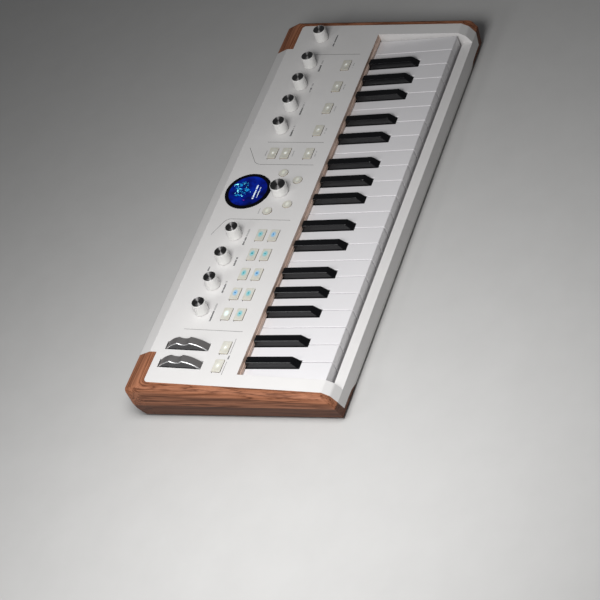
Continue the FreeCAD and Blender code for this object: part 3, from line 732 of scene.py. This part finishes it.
# Small lamp windows in the panel, by the bass-side rear corner of each rectangular cap.
LED_OFF_U, LED_OFF_V, LED_R = -8.15, 3.5, 0.42
bm = bmesh.new()
for u, v in led_spots:
    spot = [(x + u + LED_OFF_U, y + v + LED_OFF_V - ENCODER_V) for x, y, z in circle(LED_R, 0.0, 16)]
    loft(bm, [[(*point, h) for point in spot] for h in (0.0, 0.05)])
on_encoder = on_panel(0, ENCODER_V)
leds = finish_mesh("button_leds", bm, [MATS["bezel"]], on_encoder, weighted=False)
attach(leds, "case")


# ---------------------------------------------------------------- display

DISPLAY_U, DISPLAY_V, DISPLAY_R, SCREEN_R = 0.0, 152.9, 23.6, 19.6
LENS_TOP, SCREEN_TOP = 0.5, 0.52
on_display = on_panel(DISPLAY_U, DISPLAY_V)
on_screen = on_panel(DISPLAY_U, DISPLAY_V, SCREEN_TOP)
bm = bmesh.new()
lens_foot = [(DISPLAY_R - 2, BOARD_H), (DISPLAY_R - 2, -1.2), (DISPLAY_R, -1.2)]
turned(bm, lens_foot + rounding(DISPLAY_R, LENS_TOP, 0.4), count=128)
lens = finish_mesh("display_lens", bm, [MATS["bezel"]], on_display)
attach(lens, "case")
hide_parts("display_module")
bm = bmesh.new()
turned(bm, [(SCREEN_R, LENS_TOP - 0.05), (SCREEN_R, SCREEN_TOP)], count=128)
glass = finish_mesh("display_screen", bm, [MATS["screen"]], on_display)
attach(glass, "case")

bm = bmesh.new()
dashes(bm, -10.6, -9.1, 18.6, 1.7, 3)
dashes(bm, -8.7, -12.6, 14.0, 1.0, 4)
words = finish_mesh("display_bars", bm, [MATS["bar_white"]], on_screen, weighted=False)
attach(words, "case")


def shard(bm, u, v, size, angle, mat, level):
    """Flat narrow triangle of the screen picture."""
    corners = []
    for step, reach in ((0, 1.0), (140, 0.75), (205, 0.6)):
        a = math.radians(angle + step)
        corners.append((u + size * reach * math.cos(a), v + size * reach * math.sin(a), level))
    loft(bm, [corners, [(x, y, z + 0.02) for x, y, z in corners]], mat)


# Picture on the screen: a loose cluster of shards, brighter ones on top.
BRIGHT, MID, DIM, PINK = range(4)
CLUSTER_U, CLUSTER_V, CLUSTER_HALF_U, CLUSTER_HALF_V = 1.8, 7.0, 10.0, 8.6
TOP_LEVEL = 0.07
bm = bmesh.new()
draw = random.Random(11)
for i in range(54):
    a, far = draw.uniform(0, 2 * math.pi), math.sqrt(draw.random())
    level = 0.01 + 0.02 * (i % 3)
    u = CLUSTER_U + CLUSTER_HALF_U * far * math.cos(a)
    v = CLUSTER_V + CLUSTER_HALF_V * far * math.sin(a)
    size = draw.uniform(0.9, 3.2) * (1.2 - 0.5 * far)
    shard(bm, u, v, size, draw.uniform(60, 150), (MID, DIM, MID)[i % 3], level)
# place, size and angle of the bright ones: a peak at the rear, a bend in the middle and loose sparks
for u, v, size, angle in ((8.6, 14.4, 2.9, 100), (6.4, 16.4, 1.0, 200), (0.2, 10.6, 2.4, 20),
                          (-2.4, 9.6, 1.1, 150), (2.6, 9.2, 1.2, 300), (-7.0, 4.0, 1.5, 60),
                          (-5.6, 5.4, 1.0, 240), (9.4, 6.6, 1.2, 330), (-1.3, -3.0, 0.9, 45),
                          (4.8, 3.2, 0.8, 190), (10.6, 3.4, 0.6, 90), (1.0, 3.0, 0.7, 280),
                          (-3.4, 12.4, 0.9, 350), (5.4, 12.0, 0.8, 130)):
    shard(bm, u, v, size, angle, BRIGHT, TOP_LEVEL)
shard(bm, -12.3, 0.3, 1.0, 70, PINK, TOP_LEVEL)
tones = [MATS["art_" + tone] for tone in ("bright", "mid", "dim", "pink")]
art = finish_mesh("display_picture", bm, tones, on_screen, weighted=False)
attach(art, "case")


# ---------------------------------------------------------------- printed lines

def arc_points(centre, radius, start, end):
    """Points of an arc between two angles in degrees."""
    steps = 10
    points = []
    for i in range(steps + 1):
        a = math.radians(start + (end - start) * i / steps)
        points.append((centre[0] + radius * math.cos(a), centre[1] + radius * math.sin(a)))
    return points


LINE_W = 0.45
bm = bmesh.new()
left_line = [(-37.2, 95.8), (-37.2, 157.0)] + arc_points((-45.2, 157.0), 8.0, 0, 62) + [(-58.3, 171.6)]
right_line = [(37.1, 95.9), (37.1, 152.0)] + arc_points((47.1, 152.0), 10.0, 180, 130) + [(60.2, 171.7)]
for line in (left_line, right_line, [(68.3, 95.0), (68.3, 155.0)], [(197.0, 95.6), (197.0, 145.0)],
             [(-177.2, 96.4), (-177.2, 155.8)], [(-228.4, 99.7), (-213.0, 99.7)],
             [(-204.0, 99.7), (-185.9, 99.7)]):
    ribbon(bm, [(u, v - ENCODER_V) for u, v in line], LINE_W)
lines = finish_mesh("panel_lines", bm, [MATS["ink_line"]], on_encoder, weighted=False)
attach(lines, "case")

bm = bmesh.new()
bm_pale = bmesh.new()


def label(mesh, u, v, length, height, seed):
    """Printed label at u, v of the panel."""
    dashes(mesh, u, v - ENCODER_V, length, height, seed)


LABEL_V, LABEL_H, LABEL_GAP = 132.8, 1.9, 0.8
# labels in front of the knobs: start, end, and where the pale second half begins
LABELS = ((-166.5, -145.0, -154.0), (-131.5, -116.9, -120.5), (-97.4, -86.5, -86.5),
          (-70.6, -50.0, -60.5), (77.0, 93.0, 86.0), (106.4, 125.2, 118.0), (140.6, 153.7, 147.5),
          (171.3, 188.2, 181.0))
for i, (start, end, pale) in enumerate(LABELS):
    label(bm, start, LABEL_V, pale - start, LABEL_H, 10 + i)
    label(bm_pale, pale + LABEL_GAP, LABEL_V, end - pale - LABEL_GAP, LABEL_H, 30 + i)
label(bm, 209.6, 129.0, 17.2, 1.5, 51)
label(bm, -211.4, 98.9, 5.6, 1.6, 52)
label(bm, -105.2, 157.2, 5.6, 1.5, 53)
SMALL_H = 1.2
for i in range(4):
    label(bm_pale, FX_U - 4.6 + (i - 1.5) * FX_STEP, 97.6, 7.6, SMALL_H, 60 + i)
for i, v in enumerate((98.0, 122.0, 151.0)):
    label(bm_pale, TRANSPORT_U - 4.1, v, 7.8, SMALL_H, 70 + i)
label(bm_pale, -29.4, 131.6, 7.0, SMALL_H, 80)
dark_marks = finish_mesh("panel_marks_dark", bm, [MATS["ink"]], on_encoder, weighted=False)
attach(dark_marks, "case")
pale_marks = finish_mesh("panel_marks_pale", bm_pale, [MATS["ink_pale"]], on_encoder, weighted=False)
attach(pale_marks, "case")


# ---------------------------------------------------------------- rear connectors

REAR_WALL = cad_box[1][1] / MM
MARK_Z, MARK_H = 38.7, 1.0
NUT_WALL, NUT_FACE, NUT_FOOT = 2.9, REAR_WALL + 0.5, REAR_WALL - 0.3
rear_marks = bmesh.new()
for mount in frame["record"]["mounts"]:
    if mount["kind"] != "bore":
        continue
    bore = mount["dims"]["r_mm"]
    x, z = mount["pos_m"][0], mount["pos_m"][2]
    outer = bore + NUT_WALL
    profile = ((outer, NUT_FOOT), (outer, NUT_FACE - 0.15), (outer - 0.2, NUT_FACE),
               (bore + 0.35, NUT_FACE), (bore + 0.1, NUT_FACE - 0.25), (bore + 0.1, NUT_FOOT))
    rings = [circle(r, h, 48) for r, h in profile]
    bm = bmesh.new()
    loft(bm, rings + rings[:1], closed=False)
    bmesh.ops.remove_doubles(bm, verts=bm.verts, dist=1e-7)
    place = Matrix.Translation((x, 0, z)) @ Matrix.Rotation(math.radians(-90), 4, "X")
    nut = finish_mesh(mount["name"] + "_ring", bm, [MATS["nut"]], place)
    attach(nut, "case")
    seed = 90 + round(outer + abs(x) / MM)
    dashes(rear_marks, -x / MM - bore, MARK_Z, 2 * bore, MARK_H, seed)
on_rear = Matrix.Translation((0, REAR_WALL * MM, 0)) @ axes((-1, 0, 0), (0, 0, 1), (0, 1, 0))
marks = finish_mesh("rear_marks", rear_marks, [MATS["ink"]], on_rear, weighted=False)
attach(marks, "case")


# ---------------------------------------------------------------- stage, lights, camera

FLOOR_HALF, FLOOR_GAP = 6.0, 0.0002
bm = bmesh.new()
bmesh.ops.create_grid(bm, x_segments=1, y_segments=1, size=FLOOR_HALF)
floor = finish_mesh("floor", bm, [MATS["floor"]], weighted=False)
floor.location = (0, 0, cad_box[0][2] - FLOOR_GAP)


def area_light(name, at, aim, size, power):
    """Square softbox at one point, turned to another."""
    data = bpy.data.lights.new(name, "AREA")
    data.size = size
    data.energy = power
    obj = bpy.data.objects.new(name, data)
    bpy.context.scene.collection.objects.link(obj)
    obj.location = at
    obj.visible_camera = False
    obj.rotation_euler = (Vector(aim) - Vector(at)).to_track_quat("-Z", "Y").to_euler()


area_light("key_light", (-0.42, -0.12, 0.52), (-0.28, -0.06, 0.0), 0.30, 3.5)
area_light("rim_light", (-0.72, 0.42, 0.60), (-0.12, 0.0, 0.02), 0.25, 0.95)

world = bpy.data.worlds.new("studio")
world.use_nodes = True
sky = world.node_tree.nodes["Background"]
sky.inputs["Color"].default_value = (0.95, 0.97, 1.0, 1.0)
sky.inputs["Strength"].default_value = 0.07
bpy.context.scene.world = world
bpy.context.scene.view_settings.view_transform = "Standard"

# The camera looks from the player's left and high up at a point on the bass side of the middle,
# and is rolled so that the treble end points up in the picture. Angles are in degrees.
CAMERA_AIM = Vector((-0.1297, -0.0323, 0.03))
CAMERA_DISTANCE = 1.8537
CAMERA_AZIMUTH, CAMERA_ELEVATION, CAMERA_ROLL = -52.49, 40.85, -27.59
CAMERA_LENS = 122.07
camera_data = bpy.data.cameras.new("camera")
camera_data.sensor_width = 36.0
camera_data.lens = CAMERA_LENS
camera = bpy.data.objects.new("camera", camera_data)
bpy.context.scene.collection.objects.link(camera)
camera.matrix_world = (Matrix.Translation(CAMERA_AIM)
                       @ Matrix.Rotation(math.radians(CAMERA_AZIMUTH), 4, "Z")
                       @ Matrix.Rotation(math.radians(90 - CAMERA_ELEVATION), 4, "X")
                       @ Matrix.Rotation(math.radians(CAMERA_ROLL), 4, "Z")
                       @ Matrix.Translation((0, 0, CAMERA_DISTANCE)))
bpy.context.scene.camera = camera
